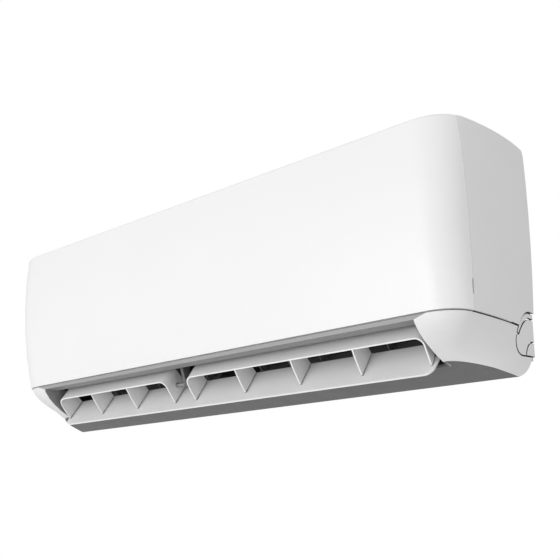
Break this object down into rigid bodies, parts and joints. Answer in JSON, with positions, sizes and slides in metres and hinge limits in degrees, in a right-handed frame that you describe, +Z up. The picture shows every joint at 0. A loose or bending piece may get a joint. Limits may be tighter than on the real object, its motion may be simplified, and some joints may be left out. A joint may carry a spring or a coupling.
{
  "type": "mini split indoor unit",
  "caption": "Wall-hung indoor unit of a split air conditioner with a hinged front panel, lift-out filters, swinging air flap and cross-flow fan.",
  "frame": {"origin": "middle of the wall plate's back, on the wall surface", "axes": "+X to the right seen from the front, +Y into the wall, +Z up; the front panel faces -Y"},
  "size_m": [0.81, 0.1924, 0.285],
  "materials": {
    "panel_white": "smooth, soft gloss",
    "housing_white": "fine satin",
    "inner_grey": "satin",
    "inner_dark": "satin",
    "foam_grey": "satin",
    "zinc_steel": "zinc plated",
    "fin_aluminium": "thin fins",
    "copper": "drawn tube",
    "motor_steel": "painted",
    "rubber_black": "matt",
    "board_green": "solder mask",
    "filter_mesh": "fine mesh"
  },
  "bodies": {
    "unit": {"wall_plate": "zinc_steel", "rear_casing": "foam_grey", "base_cover": "housing_white", "lower_housing": "housing_white", "face_frame": "housing_white", "knockout_outer": "housing_white", "knockout_inner": "housing_white", "knockout_small": "housing_white", "knockout_left": "housing_white", "drain_pan": "foam_grey", "drain_spigot": "foam_grey", "coil_front": "fin_aluminium", "coil_upper": "fin_aluminium", "coil_rear": "fin_aluminium", "coil_bends": "copper", "gas_pipe": "copper", "liquid_pipe": "copper", "fan_bearing": "rubber_black", "fan_motor": "motor_steel", "louver_mid_arm": "housing_white", "louver_motor": "inner_grey", "vane_base_left": "inner_dark", "vane_base_right": "inner_dark", "control_box": "inner_grey", "control_cover": "zinc_steel", "control_board": "board_green", "terminal_block": "inner_dark", "box_screws": "zinc_steel", "bar_screws": "zinc_steel"},
    "panel": {"front_panel": "panel_white"},
    "louver": {"louver_plate": "housing_white", "louver_hood_left": "housing_white", "louver_hood_right": "housing_white", "louver_pin": "zinc_steel"},
    "fan": {"fan_wheel": "inner_dark"},
    "filter_left": {"filter_left": "filter_mesh"},
    "filter_right": {"filter_right": "filter_mesh"},
    "vane_left_1": {"vane_left_1": "inner_dark"},
    "vane_left_2": {"vane_left_2": "inner_dark"},
    "vane_left_3": {"vane_left_3": "inner_dark"},
    "vane_left_4": {"vane_left_4": "inner_dark"},
    "vane_left_5": {"vane_left_5": "inner_dark"},
    "vane_left_6": {"vane_left_6": "inner_dark"},
    "bar_left": {"vane_bar_left": "inner_dark"},
    "vane_right_1": {"vane_right_1": "inner_dark"},
    "vane_right_2": {"vane_right_2": "inner_dark"},
    "vane_right_3": {"vane_right_3": "inner_dark"},
    "vane_right_4": {"vane_right_4": "inner_dark"},
    "vane_right_5": {"vane_right_5": "inner_dark"},
    "vane_right_6": {"vane_right_6": "inner_dark"},
    "bar_right": {"vane_bar_right": "inner_dark"}
  },
  "joints": [
    {"name": "panel_hinge", "type": "hinge", "parent": "unit", "child": "panel", "pos_m": [0, -0.159, 0.094], "axis": [-1, 0, 0], "range_deg": [0, 52]},
    {"name": "louver_swing", "type": "hinge", "parent": "unit", "child": "louver", "pos_m": [0, -0.13, -0.1416], "axis": [1, 0, 0], "range_deg": [-76, 8]},
    {"name": "fan_spin", "type": "hinge", "parent": "unit", "child": "fan", "pos_m": [0, -0.082, -0.045], "axis": [1, 0, 0], "continuous": true},
    {"name": "filter_left_slide", "type": "slide", "parent": "unit", "child": "filter_left", "axis": [0, 0, 1], "range_m": [0, 0.19]},
    {"name": "filter_right_slide", "type": "slide", "parent": "unit", "child": "filter_right", "axis": [0, 0, 1], "range_m": [0, 0.19]},
    {"name": "vane_left_1_turn", "type": "hinge", "parent": "unit", "child": "vane_left_1", "pos_m": [-0.3, -0.09194, -0.11803], "axis": [0, -0.6924, 0.7215], "range_deg": [-35, 35]},
    {"name": "vane_left_2_turn", "type": "hinge", "parent": "unit", "child": "vane_left_2", "pos_m": [-0.25, -0.09194, -0.11803], "axis": [0, -0.6924, 0.7215], "range_deg": [-35, 35]},
    {"name": "vane_left_3_turn", "type": "hinge", "parent": "unit", "child": "vane_left_3", "pos_m": [-0.2, -0.09194, -0.11803], "axis": [0, -0.6924, 0.7215], "range_deg": [-35, 35]},
    {"name": "vane_left_4_turn", "type": "hinge", "parent": "unit", "child": "vane_left_4", "pos_m": [-0.15, -0.09194, -0.11803], "axis": [0, -0.6924, 0.7215], "range_deg": [-35, 35]},
    {"name": "vane_left_5_turn", "type": "hinge", "parent": "unit", "child": "vane_left_5", "pos_m": [-0.1, -0.09194, -0.11803], "axis": [0, -0.6924, 0.7215], "range_deg": [-35, 35]},
    {"name": "vane_left_6_turn", "type": "hinge", "parent": "unit", "child": "vane_left_6", "pos_m": [-0.05, -0.09194, -0.11803], "axis": [0, -0.6924, 0.7215], "range_deg": [-35, 35]},
    {"name": "bar_left_turn", "type": "hinge", "parent": "vane_left_3", "child": "bar_left", "pos_m": [-0.2, -0.09793, -0.10022], "axis": [0, -0.6924, 0.7215], "range_deg": [-35, 35]},
    {"name": "vane_right_1_turn", "type": "hinge", "parent": "unit", "child": "vane_right_1", "pos_m": [0.05, -0.09194, -0.11803], "axis": [0, -0.6924, 0.7215], "range_deg": [-35, 35]},
    {"name": "vane_right_2_turn", "type": "hinge", "parent": "unit", "child": "vane_right_2", "pos_m": [0.1, -0.09194, -0.11803], "axis": [0, -0.6924, 0.7215], "range_deg": [-35, 35]},
    {"name": "vane_right_3_turn", "type": "hinge", "parent": "unit", "child": "vane_right_3", "pos_m": [0.15, -0.09194, -0.11803], "axis": [0, -0.6924, 0.7215], "range_deg": [-35, 35]},
    {"name": "vane_right_4_turn", "type": "hinge", "parent": "unit", "child": "vane_right_4", "pos_m": [0.2, -0.09194, -0.11803], "axis": [0, -0.6924, 0.7215], "range_deg": [-35, 35]},
    {"name": "vane_right_5_turn", "type": "hinge", "parent": "unit", "child": "vane_right_5", "pos_m": [0.25, -0.09194, -0.11803], "axis": [0, -0.6924, 0.7215], "range_deg": [-35, 35]},
    {"name": "vane_right_6_turn", "type": "hinge", "parent": "unit", "child": "vane_right_6", "pos_m": [0.3, -0.09194, -0.11803], "axis": [0, -0.6924, 0.7215], "range_deg": [-35, 35]},
    {"name": "bar_right_turn", "type": "hinge", "parent": "vane_right_3", "child": "bar_right", "pos_m": [0.15, -0.09793, -0.10022], "axis": [0, -0.6924, 0.7215], "range_deg": [-35, 35]}
  ],
  "couplings": [
    {"joint": "vane_left_1_turn", "follows": "vane_left_3_turn", "ratio": 1},
    {"joint": "vane_left_2_turn", "follows": "vane_left_3_turn", "ratio": 1},
    {"joint": "vane_left_4_turn", "follows": "vane_left_3_turn", "ratio": 1},
    {"joint": "vane_left_5_turn", "follows": "vane_left_3_turn", "ratio": 1},
    {"joint": "vane_left_6_turn", "follows": "vane_left_3_turn", "ratio": 1},
    {"joint": "bar_left_turn", "follows": "vane_left_3_turn", "ratio": -1},
    {"joint": "vane_right_1_turn", "follows": "vane_right_3_turn", "ratio": 1},
    {"joint": "vane_right_2_turn", "follows": "vane_right_3_turn", "ratio": 1},
    {"joint": "vane_right_4_turn", "follows": "vane_right_3_turn", "ratio": 1},
    {"joint": "vane_right_5_turn", "follows": "vane_right_3_turn", "ratio": 1},
    {"joint": "vane_right_6_turn", "follows": "vane_right_3_turn", "ratio": 1},
    {"joint": "bar_right_turn", "follows": "vane_right_3_turn", "ratio": -1}
  ]
}
